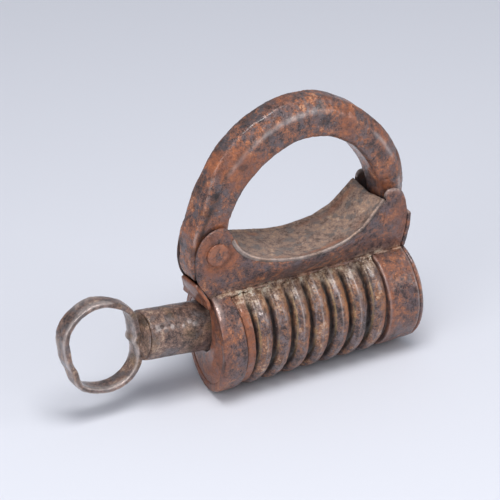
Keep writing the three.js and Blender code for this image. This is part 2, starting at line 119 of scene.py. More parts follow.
class Finish:
    """A material built from nodes: node() adds one node, and paint() feeds the surface shader."""

    def __init__(self, name):
        self.material = bpy.data.materials.new(name)
        self.material.use_nodes = True
        self.tree = self.material.node_tree
        self.tree.nodes.clear()
        self.place = self.node("ShaderNodeTexCoord", output="Object")

    def node(self, kind, settings=(), inputs=(), output=0):
        """Adds a node: first its settings, with a ramp's stops among them, then its inputs."""
        made = self.tree.nodes.new(kind)
        for key, value in dict(settings).items():
            if key == "stops":
                ramp = made.color_ramp
                while len(ramp.elements) < len(value):
                    ramp.elements.new(1)
                for element, (position, colour) in zip(ramp.elements, value):
                    element.position = position
                    element.color = colour
            else:
                setattr(made, key, value)
        for key, value in dict(inputs).items():
            if isinstance(value, Signal):
                self.tree.links.new(value.socket, made.inputs[key])
            else:
                made.inputs[key].default_value = value
        return Signal(self, made.outputs[output])

    def noise(self, size, detail=4, roughness=0.6, shift=0.0):
        """Cloudy noise from 0 to 1, with blotches about size millimetres across."""
        moved = self.node("ShaderNodeVectorMath", {"operation": "ADD"}, {0: self.place, 1: (shift,) * 3})
        inputs = {"Vector": moved, "Scale": 1 / (size * MM), "Detail": detail, "Roughness": roughness}
        return self.node("ShaderNodeTexNoise", {}, inputs)

    def mask(self, name):
        """A piece's own attribute, from 0 to 1, or 0 on a piece that hasn't one."""
        return self.node("ShaderNodeAttribute", {"attribute_name": name}, output="Fac")

    def ramp(self, value, stops):
        return self.node("ShaderNodeValToRGB", {"stops": stops}, {0: value})

    def mix(self, amount, first, second):
        """The first colour, turning to the second as amount goes from 0 to 1."""
        inputs = {0: amount, 6: first, 7: second}
        return self.node("ShaderNodeMix", {"data_type": "RGBA"}, inputs, output=2)

    def paint(self, bump, bump_depth, constants=(), **inputs):
        """Feeds the surface shader and the output, with bump's height in millimetres."""
        normal = self.node(
            "ShaderNodeBump", {}, {"Height": bump, "Distance": bump_depth * MM, "Strength": 1.0},
        )
        sockets = {key.replace("_", " "): value for key, value in inputs.items()}
        sockets = {**dict(constants), **sockets, "Normal": normal}
        shader = self.node("ShaderNodeBsdfPrincipled", {}, sockets)
        output = self.tree.nodes.new("ShaderNodeOutputMaterial")
        self.tree.links.new(shader.socket, output.inputs["Surface"])
        return self.material


def srgb(red, green, blue):
    """A colour from its usual 0 to 255 values, as the shader's linear ones."""
    share = np.array([red, green, blue]) / 255
    linear = np.where(share <= 0.04045, share / 12.92, ((share + 0.055) / 1.055) ** 2.4)
    return (*(float(value) for value in linear), 1.0)


def link(name, mesh, material):
    made = bpy.data.objects.new(name, mesh)
    mesh.materials.append(material)
    scene.collection.objects.link(made)
    return made


card = Finish("studio_card")
card_cloud = card.noise(400, detail=1)
card_paint = card.paint(
    card_cloud, 0.01, {"Roughness": 0.75},
    Base_Color=card.mix(card_cloud, srgb(216, 218, 226), srgb(220, 222, 230)),
)
floor_mesh = bpy.data.meshes.new("studio_floor")
reach = 6.0
floor_mesh.from_pydata(
    [(-reach, -reach, 0), (reach, -reach, 0), (reach, reach, 0), (-reach, reach, 0)], [], [(0, 1, 2, 3)],
)
floor = link("studio_floor", floor_mesh, card_paint)

world = bpy.data.worlds.new("studio_sky")
world.use_nodes = True
sky = world.node_tree.nodes["Background"]
sky.inputs["Color"].default_value = srgb(228, 232, 242)
sky.inputs["Strength"].default_value = 0.44
scene.world = world


def softbox(name, direction, power, size, away=0.9):
    """A square lamp of the given size, in metres, that faces the lock from a direction."""
    lamp_data = bpy.data.lights.new(name, "AREA")
    lamp_data.energy = power
    lamp_data.size = size
    lamp = bpy.data.objects.new(name, lamp_data)
    towards = Vector(direction).normalized()
    lamp.location = aim + towards * away
    lamp.rotation_euler = towards.to_track_quat("Z", "Y").to_euler()
    scene.collection.objects.link(lamp)


softbox("overhead_lamp", (-0.15, -0.3, 1.0), 6.2, 0.45)
softbox("key_end_lamp", (-1.0, -0.5, 0.55), 2.4, 0.5)
softbox("toe_end_lamp", (0.9, -0.8, 0.5), 1.6, 0.4)


# ---------------------------------------------------------------------------
# Barrel tube: iron sheet rolled to a tube and brazed along its length.  It is
# seen only inside the keyhole and in the toe's slot, so its CAD shape stays.
# ---------------------------------------------------------------------------
def rust_iron(name, tones, grey, grey_share=0.5, gloss=0.5, speck=0.5):
    """Old waxed iron: three noises sum to a tone that a ramp of browns and oranges colours.  Grey
    patches of bare metal lie over it, pits and stains darken it, and small painted glints light it.
    The pieces' masks add painted highlights on edges and crests, painted shade in hollows and
    gaps with some dark pits, fresh orange rust, yellow brass, and tan and green crust."""
    iron = Finish(name)
    broad = iron.noise(8, detail=3)
    medium = iron.noise(2.2, detail=6, roughness=0.68, shift=0.31)
    fine = iron.noise(0.55, detail=4, roughness=0.65, shift=0.77)
    tone = broad * 0.5 + medium * 0.75 + fine * 0.45 - 0.35
    stops = [(0.36 + 0.06 * i, srgb(*colour)) for i, colour in enumerate(tones)]
    colour = iron.ramp(tone, stops)

    patch_noise = iron.noise(5, detail=6, roughness=0.7, shift=1.9)
    patch = patch_noise.step(0.6 - 0.16 * grey_share, 0.67 - 0.16 * grey_share)
    colour = iron.mix(patch * (fine * 1.1 + 0.1).clamped(), colour, srgb(*grey))

    pit_noise = iron.noise(0.9, detail=3, roughness=0.6, shift=4.2)
    stain = iron.noise(3.4, detail=5, roughness=0.75, shift=6.3).step(0.55, 0.66)
    pit = (pit_noise.step(0.57, 0.66) + stain * 0.75).clamped()
    colour = iron.mix(pit * speck, colour, srgb(30, 21, 20))
    # Painted glints: near-white flecks that stand in for light caught on small bumps.
    glint = iron.noise(0.7, detail=3, roughness=0.7, shift=8.8).step(0.66, 0.72)
    colour = iron.mix(glint * 0.6, colour, srgb(206, 194, 190))

    # This mask is mostly painted shade in grooves, gaps and hidden faces, with some real dark pits.
    hollow = iron.mask("hollow")
    crust = iron.mask("crust")
    brass = iron.mask("brass")
    orange = iron.mask("orange")
    # This mask is a painted highlight along edges, crests and glint lines.
    ridge = (iron.mask("ridge") * (medium * 1.7 - 0.1)).clamped()
    colour = iron.mix(orange * (medium * 1.4 - 0.05).clamped(), colour, srgb(156, 88, 50))
    colour = iron.mix(brass * (fine * 1.6 - 0.2).clamped(), colour, srgb(158, 126, 76))
    crust_tone = iron.ramp(medium * 0.7 + fine * 0.45 - 0.08, [
        (0.36, srgb(58, 42, 34)), (0.43, srgb(112, 82, 62)), (0.5, srgb(166, 138, 112)),
        (0.57, srgb(206, 192, 172)), (0.68, srgb(132, 140, 120)),
    ])
    colour = iron.mix((crust * (medium * 1.5 + 0.1)).clamped(), colour, crust_tone)
    # Painted shade, with some dark pits, mixed towards near-black.
    colour = iron.mix(hollow * 0.88, colour, srgb(24, 16, 14))
    # Painted highlight, mixed towards near-white.
    colour = iron.mix(ridge * 0.75, colour, srgb(214, 200, 194))

    metallic = (patch * 0.55 + ridge * 0.7 + 0.12 - hollow * 0.3 - crust * 0.3).clamped()
    rough = (0.62 - 0.3 * gloss) + medium * 0.24 - patch * 0.06 - ridge * 0.16 + crust * 0.12 + pit * 0.1
    height = medium * 0.6 + fine * 0.3 - pit * 0.35 + crust * fine * 0.5
    return iron.paint(
        height, 0.4, {"Coat Roughness": 0.16, "Coat IOR": 1.45},
        Base_Color=colour, Metallic=metallic, Roughness=rough.clamped(),
        Coat_Weight=(0.75 * gloss + 0.3 * patch - hollow * 0.5).clamped(),
    )


BARREL_TONES = [(38, 28, 27), (70, 52, 50), (100, 76, 70), (126, 88, 68), (152, 98, 64), (184, 150, 122)]
barrel_iron = rust_iron("barrel_iron", BARREL_TONES, (126, 114, 116), grey_share=0.6, gloss=0.8)


def refinish(node, material):
    """Gives a carried-over CAD node its material."""
    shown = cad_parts[node]
    shown.data.materials.clear()
    shown.data.materials.append(material)


refinish("barrel_tube", barrel_iron)

# ---------------------------------------------------------------------------
# Barrel winding: iron strip wound seven times round the tube and brazed down.
# Each turn has a thin upright edge beside a groove darkened with painted shade, a shallow dip
# and a rounded back.  Brazing residue crusts its ends along the cheeks.
# ---------------------------------------------------------------------------
rng = np.random.default_rng(7)
LATTICE = rng.random((24, 24, 24)) * 2 - 1


def lumps(points, size, shift=0.0):
    """Smooth random bumps from -1 to 1: values on a cubic lattice of that size in millimetres,
    blended between the eight nearest with an eased weight."""
    scaled = np.asarray(points) / size + shift + 400
    cell = np.floor(scaled).astype(int)
    part = scaled - cell
    part = part * part * (3 - 2 * part)
    total = 0
    for corner in range(8):
        step = np.array([corner & 1, corner >> 1 & 1, corner >> 2])
        i, j, k = np.moveaxis((cell + step) % LATTICE.shape[0], -1, 0)
        weight = np.prod(np.where(step, part, 1 - part), axis=-1)
        total = total + weight * LATTICE[i, j, k]
    return total


def ease(value, low, high):
    """0 below low, 1 above high, and a smooth rise between them."""
    share = np.clip((value - low) / (high - low), 0, 1)
    return share * share * (3 - 2 * share)


def bell(value, centre, width):
    """A smooth hump of height 1 about a centre."""
    return np.exp(-(((value - centre) / width) ** 2))


def outward(grid, wrap_u):
    """Unit normals of a grid of points: the cross product of its two directions' differences."""
    along_u = np.roll(grid, -1, 0) - np.roll(grid, 1, 0) if wrap_u else np.gradient(grid, axis=0)
    along_v = np.roll(grid, -1, 1) - np.roll(grid, 1, 1)
    normal = np.cross(along_u, along_v)
    return normal / np.maximum(np.linalg.norm(normal, axis=-1, keepdims=True), 1e-9)


def forged(grid, wrap_u, coarse=0.12, fine=0.05, pits=0.12, shift=0.0):
    """The grid moved along its normals by hammer marks, a finer grain, and rust pits that only go in.
    Normals that point inwards are turned by the sign of the grid's enclosed volume."""
    normal = outward(grid, wrap_u)
    middle = grid.reshape(-1, 3).mean(0)
    if np.sum((grid - middle) * normal) < 0:
        normal = -normal
    height = coarse * lumps(grid, 5.5, shift) + fine * lumps(grid, 1.3, shift + 5)
    height = height - pits * ease(lumps(grid, 1.7, shift + 9), 0.35, 0.75)
    return grid + normal * height[..., None]


def skin(name, grid, material, body, slot, nodes=(), wrap_u=False, **masks):
    """A closed mesh from a grid of points in the lock's frame: a quad between neighbours, joined
    round along the rows, and either joined round from the last row to the first or closed with a
    fan to a middle point on each end row.  Masks are arrays on the same grid and become the
    mesh's attributes."""
    rows, columns = grid.shape[:2]
    index = np.arange(rows * columns).reshape(rows, columns)
    near = index if wrap_u else index[:-1]
    far = np.roll(index, -1, 0) if wrap_u else index[1:]
    quads = np.stack([near, far, np.roll(far, -1, 1), np.roll(near, -1, 1)], -1).reshape(-1, 4)
    points = row_frame(grid).reshape(-1, 3)
    values = {key: np.broadcast_to(mask, grid.shape[:2]).reshape(-1) for key, mask in masks.items()}
    triangles = np.zeros((0, 3), int)
    if not wrap_u:
        for row, turn in ((0, 1), (rows - 1, -1)):
            ring = index[row][::turn]
            middle = len(points)
            points = np.vstack([points, points[ring].mean(0)])
            values = {key: np.append(value, value[ring].mean()) for key, value in values.items()}
            fan = np.stack([np.full(columns, middle), ring, np.roll(ring, -1)], -1)
            triangles = np.vstack([triangles, fan])
    corners = points[quads]
    centre = points.mean(0)
    first = np.cross(corners[:, 1] - corners[:, 0], corners[:, 2] - corners[:, 0])
    second = np.cross(corners[:, 2] - corners[:, 0], corners[:, 3] - corners[:, 0])
    if np.sum((corners[:, 0] - centre) * (first + second)) < 0:
        quads, triangles = quads[:, ::-1], triangles[:, ::-1]
    mesh = bpy.data.meshes.new(name)
    mesh.from_pydata(points.tolist(), [], quads.tolist() + triangles.tolist())
    mesh.polygons.foreach_set("use_smooth", np.ones(len(mesh.polygons), bool))
    for key, value in values.items():
        attribute = mesh.attributes.new(key, "FLOAT", "POINT")
        attribute.data.foreach_set("value", np.clip(value, 0, 1).astype(np.float32))
    mesh.validate()
    made = link(name, mesh, material)
    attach(made, body)
    if nodes:
        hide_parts(*nodes)
    return made


WINDING_PITCH = 8.3
WINDING_FLOOR, WINDING_HEIGHT = 17.55, 3.15
TURN_STEPS = 300
first_crest = 5.9  # a crest's X at the top of the barrel, one pitch before the first turn
SEAM_TURN = math.degrees(math.asin(6.3 / 20.4)) / 360  # the cheeks' foot, as a share of a turn

turn = np.linspace(0, 1, TURN_STEPS, endpoint=False)[None, :]
x = np.linspace(4.6, 66.9, 328)[:, None] + 0 * turn
angle = 2 * math.pi * turn + 0 * x
on_tube = np.stack([x, 18 * np.sin(angle), 18 * np.cos(angle)], -1)
waver = 0.05 * lumps(on_tube, 11) + 0.018 * lumps(on_tube, 4, 3)
phase = (x - first_crest) / WINDING_PITCH - turn + waver
across = np.mod(phase + 0.46, 1)
profile = np.interp(
    across,
    [0, 0.05, 0.1, 0.15, 0.2, 0.27, 0.35, 0.42, 0.5, 0.6, 0.7, 0.8, 0.88, 0.94, 1],
    [0, 0.36, 0.76, 0.89, 0.85, 0.8, 0.9, 0.99, 1, 0.95, 0.86, 0.7, 0.48, 0.2, 0],
)
profile = profile + 0.07 * lumps(on_tube, 6, 7) * ease(profile, 0.3, 0.7)
from_top = np.minimum(turn, 1 - turn) + 0 * x
crusted = 1 - ease(from_top + 0.012 * lumps(on_tube, 3, 2), SEAM_TURN + 0.004, SEAM_TURN + 0.05)
profile = profile * (1 - 0.75 * crusted) + crusted * (0.68 + 0.22 * lumps(on_tube, 2.2, 4))
start_step = 1 - ease(x, 7.6, 9.0)
end_step = ease(x, 65.6, 66.4)
profile = profile * (1 - start_step) + start_step * (0.62 + 0.08 * lumps(on_tube, 3, 6))
profile = profile * (1 - end_step) + end_step * 0.25
lobe = np.sqrt(np.clip(1 - (2.8 * np.abs(across - 0.5)) ** 2.2, 0, 1))
underside = 1 - ease(np.cos(angle), -0.7, 0.45)
profile = profile + (lobe - profile) * underside * (1 - start_step) * (1 - end_step)
radius = WINDING_FLOOR + WINDING_HEIGHT * profile
outer = np.stack([x, radius * np.sin(angle), radius * np.cos(angle)], -1)
outer = forged(outer, False, coarse=0.05, fine=0.07, pits=0.14)
inner_ring = np.stack([x, 17.45 * np.sin(angle), 17.45 * np.cos(angle)], -1)[[-1, 0]]
# Painted shade that darkens the groove between turns.
groove = 1 - ease(profile, 0.2, 0.72)
edge_line = bell(across, 0.13, 0.035) * ease(lumps(on_tube, 5, 8), -0.5, 0.3)
# A painted highlight along each turn's back.
back_line = bell(across, 0.44, 0.035) * ease(lumps(on_tube, 7, 12), -0.6, 0.3)
flank = bell(across, 0.7, 0.15) * ease(lumps(on_tube, 9, 15), -0.5, 0.4)
on_winding = (1 - start_step) * (1 - end_step)
# 1 on the barrel's top and 0 below: the painted highlight is stronger on the upper, lit side, and the
# flanks' brass is stronger there too.
toward_top = ease(np.cos(angle), -0.2, 0.6)
crust_reach = 1 - ease(from_top + 0.03 * lumps(on_tube, 3, 9), SEAM_TURN, SEAM_TURN + 0.1)


def and_inside(mask, inside=0.0):
    """A mask of the winding's outer face, with two more rows for the face against the tube."""
    return np.concatenate([mask, np.full((2, TURN_STEPS), inside)])


skin(
    "barrel_winding_coils", np.concatenate([outer, inner_ring]), barrel_iron, "lock_body", "barrel_iron",
    ["barrel_winding"], wrap_u=True,
    # Painted shade in the grooves, and the face against the tube painted fully dark as shade.
    hollow=and_inside(groove * (1 - 0.8 * crusted) * (0.5 + 0.5 * on_winding), 1.0),
    brass=and_inside(np.maximum(edge_line, 0.5 * flank * toward_top) * on_winding),
    # The painted highlight on each turn's back, stronger toward the top.
    ridge=and_inside(back_line * (0.25 + 0.6 * toward_top) * on_winding),
    orange=and_inside(np.maximum(flank, start_step)),
    crust=and_inside(np.maximum(crusted, crust_reach * 0.8)),
)

# ---------------------------------------------------------------------------
# End bands: wrought bands shrunk and brazed over the tube's ends.  The key
# end's rim stands out of true, and the toe end's band is open under the neck,
# where the shackle's toe passes it.
# ---------------------------------------------------------------------------
IRON_TONES = [(44, 31, 31), (76, 54, 52), (104, 76, 70), (126, 86, 70), (152, 92, 62), (176, 124, 92)]
neck_iron = rust_iron("neck_iron", IRON_TONES, (112, 96, 98), grey_share=0.62, gloss=0.65)


def softened(points, spacing, rounds, closed):
    """Points laid evenly along a line of straight stretches, then averaged with their neighbours
    a number of rounds, so that each corner comes out rounded."""
    points = np.asarray(points, float)
    if closed:
        points = np.vstack([points, points[:1]])
    length = np.concatenate([[0], np.cumsum(np.linalg.norm(np.diff(points, axis=0), axis=1))])
    count = max(int(round(length[-1] / spacing)), 3)
    at = np.linspace(0, length[-1], count + 1)
    line = np.stack([np.interp(at, length, column) for column in points.T], -1)
    if closed:
        line = line[:-1]
    for _ in range(rounds):
        smooth = (np.roll(line, 1, 0) + 2 * line + np.roll(line, -1, 0)) / 4
        if not closed:
            smooth[0], smooth[-1] = line[0], line[-1]
        line = smooth
    return line


def about_x(profile, angles):
    """A profile of X and radius swept about the barrel's axis, from the top by way of the rear."""
    x, radius = np.asarray(profile)[:, :1], np.asarray(profile)[:, 1:]
    angles = np.asarray(angles)[None, :]
    return np.stack([x + 0 * angles, radius * np.sin(angles), radius * np.cos(angles)], -1)


FULL_TURN = np.linspace(0, 2 * math.pi, 320, endpoint=False)
band_profile = softened(
    [
        (0.05, 17.5), (0.05, 20.3), (0.4, 20.75), (3.1, 20.75), (3.9, 20.3), (4.5, 19), (7.5, 18.6),
        (7.5, 17.5),
    ],
    0.2, 4, True,
)
DRIFT_END = 3.2  # the band's X where its rim's drift has died out


def rim_drift(y):
    """How far the key end's rim stands out of true along X: more to the front than the rear."""
    return -2.8 + 0.175 * y


band = about_x(band_profile, FULL_TURN)
band[..., 0] += rim_drift(band[..., 1]) * (1 - np.clip(band[..., 0] / DRIFT_END, 0, 1))
from_rim = band_profile[:, :1] + 0 * FULL_TURN
# A painted highlight on the rim's upper front, where light catches it.
rim_painted_highlight = bell(from_rim, 0.5, 0.5) * bell(FULL_TURN[None, :], 5.75, 0.25)
band_radius = np.hypot(band[..., 1], band[..., 2])
skin(
    "hinge_end_collar", forged(band, True, 0.14, 0.05, 0.12, 1.0), neck_iron, "lock_body",
    "forged_iron", ["hinge_end_band"], wrap_u=True,
    # Painted highlight along the rim.
    ridge=rim_painted_highlight * ease(band_radius, 19.6, 20.3) * 0.8,
    orange=ease(lumps(band, 8, 2), -0.2, 0.5) * 0.5 + bell(from_rim, 0.3, 0.5) * 0.5,
    # Painted shade in the crease where the band meets the winding.
    hollow=bell(from_rim, 4.6, 0.5) * 0.4,
    crust=ease(band[..., 2], 18.9, 20.0) * ease(lumps(band, 3, 5), -0.6, 0.2) * 0.8,
)

SLOT_HALF_TURN = math.asin(5.4 / 20.3)
toe_profile = softened(
    [(66.8, 17.5), (66.8, 20.1), (67.3, 20.3), (79.4, 20.3), (80.2, 20.25), (80.2, 17.5)], 0.35, 4, True,
)
toe_turn = np.linspace(SLOT_HALF_TURN, 2 * math.pi - SLOT_HALF_TURN, 300)
toe_band = about_x(toe_profile, toe_turn).transpose(1, 0, 2)
skin(
    "toe_end_collar", forged(toe_band, False, 0.16, 0.05, 0.12, 2.0), neck_iron, "lock_body",
    "forged_iron", ["toe_end_band"],
    # Painted highlights along both edges of the band.
    ridge=bell(toe_band[..., 0], 67.2, 0.4) * 0.35 + bell(toe_band[..., 0], 79.9, 0.5) * 0.6,
    orange=ease(lumps(toe_band, 9, 4), 0.0, 0.6) * 0.4 + bell(toe_band[..., 0], 68, 1.5) * 0.5,
    crust=ease(toe_band[..., 2], 18.7, 19.8) * ease(lumps(toe_band, 3, 6), -0.5, 0.3) * 0.8,
)

# ---------------------------------------------------------------------------
# Keyhole plate: a disc brazed into the key end's rim, a little hollow beside
# the rim and proud round its hole.  The hole sits high, so the plate's face is
# wide below the key and thin above.
# ---------------------------------------------------------------------------
PLATE_RADIUS, KEYHOLE_RADIUS, KEYHOLE_UP = 20.45, 10.15, 5.75
FACE_ROWS = 46
plate_angle = FULL_TURN[None, :]
around = np.stack([np.sin(plate_angle), np.cos(plate_angle)], -1)
reach_in = np.linspace(0, 1, FACE_ROWS)[:, None]
rim = PLATE_RADIUS * around
hole = KEYHOLE_RADIUS * around + np.array([0, KEYHOLE_UP])
face = rim * (1 - reach_in[..., None]) + hole * reach_in[..., None]
face_radius = np.hypot(face[..., 0], face[..., 1])
in_from_rim = PLATE_RADIUS + 0.15 - face_radius
out = rim_drift(face[..., 0]) + 0.15 + 1.1 * bell(in_from_rim, 1.9, 1.0) - 1.4 * ease(in_from_rim, 3, 9)
front_face = np.concatenate([out[..., None], face], -1)
behind = [
    np.concatenate([np.full(outline[..., :1].shape, depth), outline], -1)
    for depth, outline in ((-0.9, hole), (-0.4, hole), (0.3, rim * 0.86))
]
plate = np.concatenate([front_face, *behind])
# The bore's walls and the back are painted dark as shade.
plate_bore_shade = np.concatenate([np.zeros(FACE_ROWS), [0.9, 1, 1]])[:, None]
skin(
    "keyhole_end_plate", forged(plate, True, 0.1, 0.04, 0.1, 3.0), neck_iron, "lock_body",
    "forged_iron", ["keyhole_plate"], wrap_u=True,
    orange=0.75 * ease(lumps(plate, 7, 3), -0.7, 0.2),
    # Painted shade in the bore, and a painted shadow ring just inside the rim.
    hollow=np.maximum(plate_bore_shade, 0.75 * bell(np.hypot(plate[..., 1], plate[..., 2]), 18.8, 0.8)),
    # A painted highlight round the hole's lip.
    ridge=bell(np.arange(FACE_ROWS + 3)[:, None], FACE_ROWS - 1, 1.2) * 0.4,
)

# ---------------------------------------------------------------------------
# Toe end plate: a flat disc brazed over the barrel's far end, with its edge
# hammered round.
# ---------------------------------------------------------------------------
disc_profile = softened(
    [(80.15, 0.01), (80.15, 19.9), (80.5, 20.3), (81.6, 20.2), (82.1, 19.5), (82.1, 0.01)], 0.4, 3, False,
)
disc = about_x(disc_profile, FULL_TURN)
skin(
    "toe_end_disc", forged(disc, False, 0.08, 0.03, 0.08, 4.0), neck_iron, "lock_body",
    "forged_iron", ["toe_end_plate"],
    # A painted highlight round the disc's outer edge.
    ridge=bell(disc[..., 0], 81.6, 0.5) * ease(np.hypot(disc[..., 1], disc[..., 2]), 19.0, 19.8) * 0.6,
    orange=ease(lumps(disc, 9, 4), 0.0, 0.6) * 0.6,
)

# ---------------------------------------------------------------------------
# Cheeks: two plates that rise from the barrel and flare out to the saddle's
# rim, each with a round ear for the hinge and one beside the toe.
# ---------------------------------------------------------------------------
PIVOT = np.array([-1.5, 37.6])
HALF_WIDTH = np.array([
    (-10, 7.6), (2, 7.6), (5, 7.9), (8, 9.3), (11.5, 11.2), (16, 12.6), (23, 13.4),
    (32, 13.4), (45, 13), (59, 11.9), (67, 10.9), (71, 11), (80, 10.6),
])
SADDLE_RIM = np.array([
    (5.6, 42.4), (6.2, 40.6), (7.2, 38.7), (8.8, 36.9), (11.5, 35), (16, 33.5), (22.7, 32), (31.6, 30.5),
    (39, 30.4), (45.4, 30.9), (51.7, 32), (59, 35), (66.6, 42), (68.4, 44),
])
fine_x = np.linspace(-12, 84, 960)


def gentle(knots, rounds=500):
    """A smooth function of X: straight lines through the knots, averaged with near neighbours."""
    value = np.interp(fine_x, knots[:, 0], knots[:, 1])
    for _ in range(rounds):
        value[1:-1] = (value[:-2] + 2 * value[1:-1] + value[2:]) / 4
    return lambda x: np.interp(x, fine_x, value)


half_width = gentle(HALF_WIDTH)
FLARE_TOP = np.array([(-10, 37), (6, 37), (10, 35), (31, 30.5), (45, 31), (60, 36), (70, 40), (80, 40)])
full_flare = gentle(FLARE_TOP)
SEAM_Y, SEAM_Z = 6.3, 19.2


def cheek_half_width(x, z):
    """Half the neck's outer width: from the seam's, it grows to the rim's as the sine of the rise."""
    rise = np.clip((z - SEAM_Z) / (full_flare(x) - SEAM_Z), 0, 1)
    return SEAM_Y + (half_width(x) - SEAM_Y) * np.sin(rise * math.pi / 2)


rim_line = softened(SADDLE_RIM, 0.4, 30, False)
rim_way = np.gradient(rim_line, axis=0)
rim_way = rim_way / np.linalg.norm(rim_way, axis=1, keepdims=True)
rim_down = np.stack([rim_way[:, 1], -rim_way[:, 0]], -1)
SADDLE_SHEET = 1.8

hinge_ear = [
    (-8.6, 25.8), (-9.8, 28.8), (-10.4, 33), (-10.4, 37.6), (-9.6, 41.4), (-7.7, 44.7), (-4.8, 47.0),
    (-1.2, 47.9), (2.4, 47.6), (4.2, 45.8), (5.1, 43.4),
]
toe_ear = [(71.2, 42.6), (70.0, 44.4), (69.8, 46.0), (71.2, 47.3), (74.4, 47.1), (77.4, 45.2),
           (79.0, 41.8), (79.8, 37.8), (80.0, 34.5)]
under_rim = (rim_line + rim_down * 1.0)[3:-1]
cheek_top = softened(np.vstack([hinge_ear, under_rim, toe_ear]), 0.4, 6, False)
top_length = np.concatenate([[0], np.cumsum(np.linalg.norm(np.diff(cheek_top, axis=0), axis=1))])
foot_x = np.interp(top_length, [0, 34, top_length[-1] - 18, top_length[-1]], [-4.3, 8, 70, 80])
CHEEK_ROWS = 44
CHEEK_SHEET = 1.7


def rounded_edge(distance, radius, least):
    """A share of full thickness that rises from an edge as a quarter circle of that radius."""
    inwards = np.clip(distance / radius, 0, 1)
    return np.sqrt(np.clip(1 - (1 - inwards) ** 2, least, 1))


def rear_lift(x):
    """How much higher the neck's rear side stands: most at the hinge end, nothing past the middle."""
    return 1.3 * ease(x, 4, 8) * (1 - ease(x, 14, 44))


def cheek_grid(side):
    """A cheek: each column runs from the foot up to the outline, over the edge and down inside.
    The sheet thins to a round edge at its ends and along its top."""
    rise = np.linspace(0, 1, CHEEK_ROWS)[None, :]
    x = foot_x[:, None] * (1 - rise) + cheek_top[:, :1] * rise
    z = SEAM_Z + (cheek_top[:, 1:] - SEAM_Z) * rise
    ends = np.minimum(top_length, top_length[-1] - top_length)[:, None]
    half = CHEEK_SHEET / 2 * rounded_edge(ends, 0.9, 0.02) * rounded_edge((1 - rise) * 14, 0.9, 0.05)
    middle = cheek_half_width(x, z) - CHEEK_SHEET / 2
    z = z + rear_lift(x) * rise * (side > 0)
    outside = np.stack([x, side * (middle + half), z], -1)
    inside = np.stack([x, side * (middle - half), z], -1)
    return np.concatenate([outside, inside[:, ::-1]], 1)


for side, name, node in ((-1, "front_cheek_plate", "front_cheek"), (1, "rear_cheek_plate", "rear_cheek")):
    grid = cheek_grid(side)
    to_pivot = np.hypot(grid[..., 0] - PIVOT[0], grid[..., 2] - PIVOT[1])
    rows = np.concatenate([np.arange(CHEEK_ROWS), np.arange(CHEEK_ROWS)[::-1]])[None, :] + 0 * to_pivot
    outer_face = (np.arange(2 * CHEEK_ROWS) < CHEEK_ROWS)[None, :]
    skin(
        name, forged(grid, False, 0.14, 0.05, 0.12, 5.0 + side), neck_iron, "lock_body",
        "forged_iron", [node],
        orange=np.clip((1 - ease(to_pivot, 6, 11)) + ease(grid[..., 0], 66, 74) * 0.6, 0, 1)
        * ease(lumps(grid, 6, 3), -0.8, 0.3) + 0 * to_pivot,
        # Painted shade: a ring round the rivet's head, and the cheek's inner face made dark.
        hollow=bell(to_pivot, 5.6, 0.5) * outer_face * 0.35 + (~outer_face) * 0.9,
        # A painted highlight along the top edge near the toe ear.
        ridge=bell(rows, CHEEK_ROWS - 1, 1.3) * 0.6 * ease(grid[..., 0], 66, 72),
        crust=bell(rows, 0, 4.5) * ease(lumps(grid, 3, 8), -0.6, 0.2) * 0.8,
    )

# ---------------------------------------------------------------------------
# Saddle plate: a plate hammered hollow like a boat, brazed on the cheeks, its
# long edges turned up to a thin lip with a painted highlight along it.
# ---------------------------------------------------------------------------
saddle_span = np.linspace(-1, 1, 90)
rim_half = half_width(rim_line[:, 0])[:, None]
lip = 0.55 * ease(np.abs(saddle_span), 0.9, 0.985)
dished = -1.3 * (1 - np.abs(saddle_span) ** 3.2)
edge_round = rounded_edge((1 - np.abs(saddle_span)) * 13, 0.8, 0.04)
end_distance = np.minimum(np.arange(len(rim_line)), np.arange(len(rim_line))[::-1]) * 0.4
end_round = rounded_edge(end_distance, 0.8, 0.04)[:, None]


def saddle_face(depth):
    """The rim's line carried across the neck, sunk in the middle by a power of the distance out."""
    place = rim_line + rim_down * SADDLE_SHEET / 2
    thickness = depth * SADDLE_SHEET / 2 * edge_round * end_round
    thick = rim_down[:, None, :] * thickness[..., None]
    past_leg = 1.7 * (1 - ease(place[:, :1], 5, 11)) * (1 - ease(np.abs(saddle_span), 0.7, 0.92))
    x = place[:, :1] + thick[..., 0] + past_leg
    z = place[:, 1:] + thick[..., 1] + dished + lip + rear_lift(x) * ease(saddle_span, -0.2, 1)
    return np.stack([x, rim_half * saddle_span, z], -1)


saddle = np.concatenate([saddle_face(-1), saddle_face(1)[:, ::-1]], 1)
span_all = np.abs(np.concatenate([saddle_span, saddle_span[::-1]]))[None, :]
upper_face = (np.arange(180) < 90)[None, :]
SADDLE_TONES = [
    (100, 79, 68), (128, 104, 92), (148, 122, 108), (162, 136, 120), (174, 136, 108), (192, 168, 150),
]
saddle_iron = rust_iron(
    "saddle_iron", SADDLE_TONES, (146, 136, 130), grey_share=0.5, gloss=0.4, speck=0.15,
)
skin(
    "saddle_boat", forged(saddle, False, 0.12, 0.05, 0.1, 8.0), saddle_iron, "lock_body",
    "forged_iron", ["saddle_plate"],
    # A painted highlight along the lip, fading towards the toe.
    ridge=bell(span_all, 0.985, 0.02) * (0.75 + 0.25 * upper_face) * ease(lumps(saddle, 3, 2), -0.8, 0.2)
    * (1 - 0.75 * ease(saddle[..., 0], 48, 60)),
    # Painted shade in the crease inside the lip, and the underside painted dark.
    hollow=bell(span_all, 0.87, 0.03) * upper_face * 0.35 + (~upper_face) * 0.7,
    orange=bell(span_all, 0.75, 0.12) * upper_face * 0.7 * ease(lumps(saddle, 6, 9), -0.3, 0.5),
)

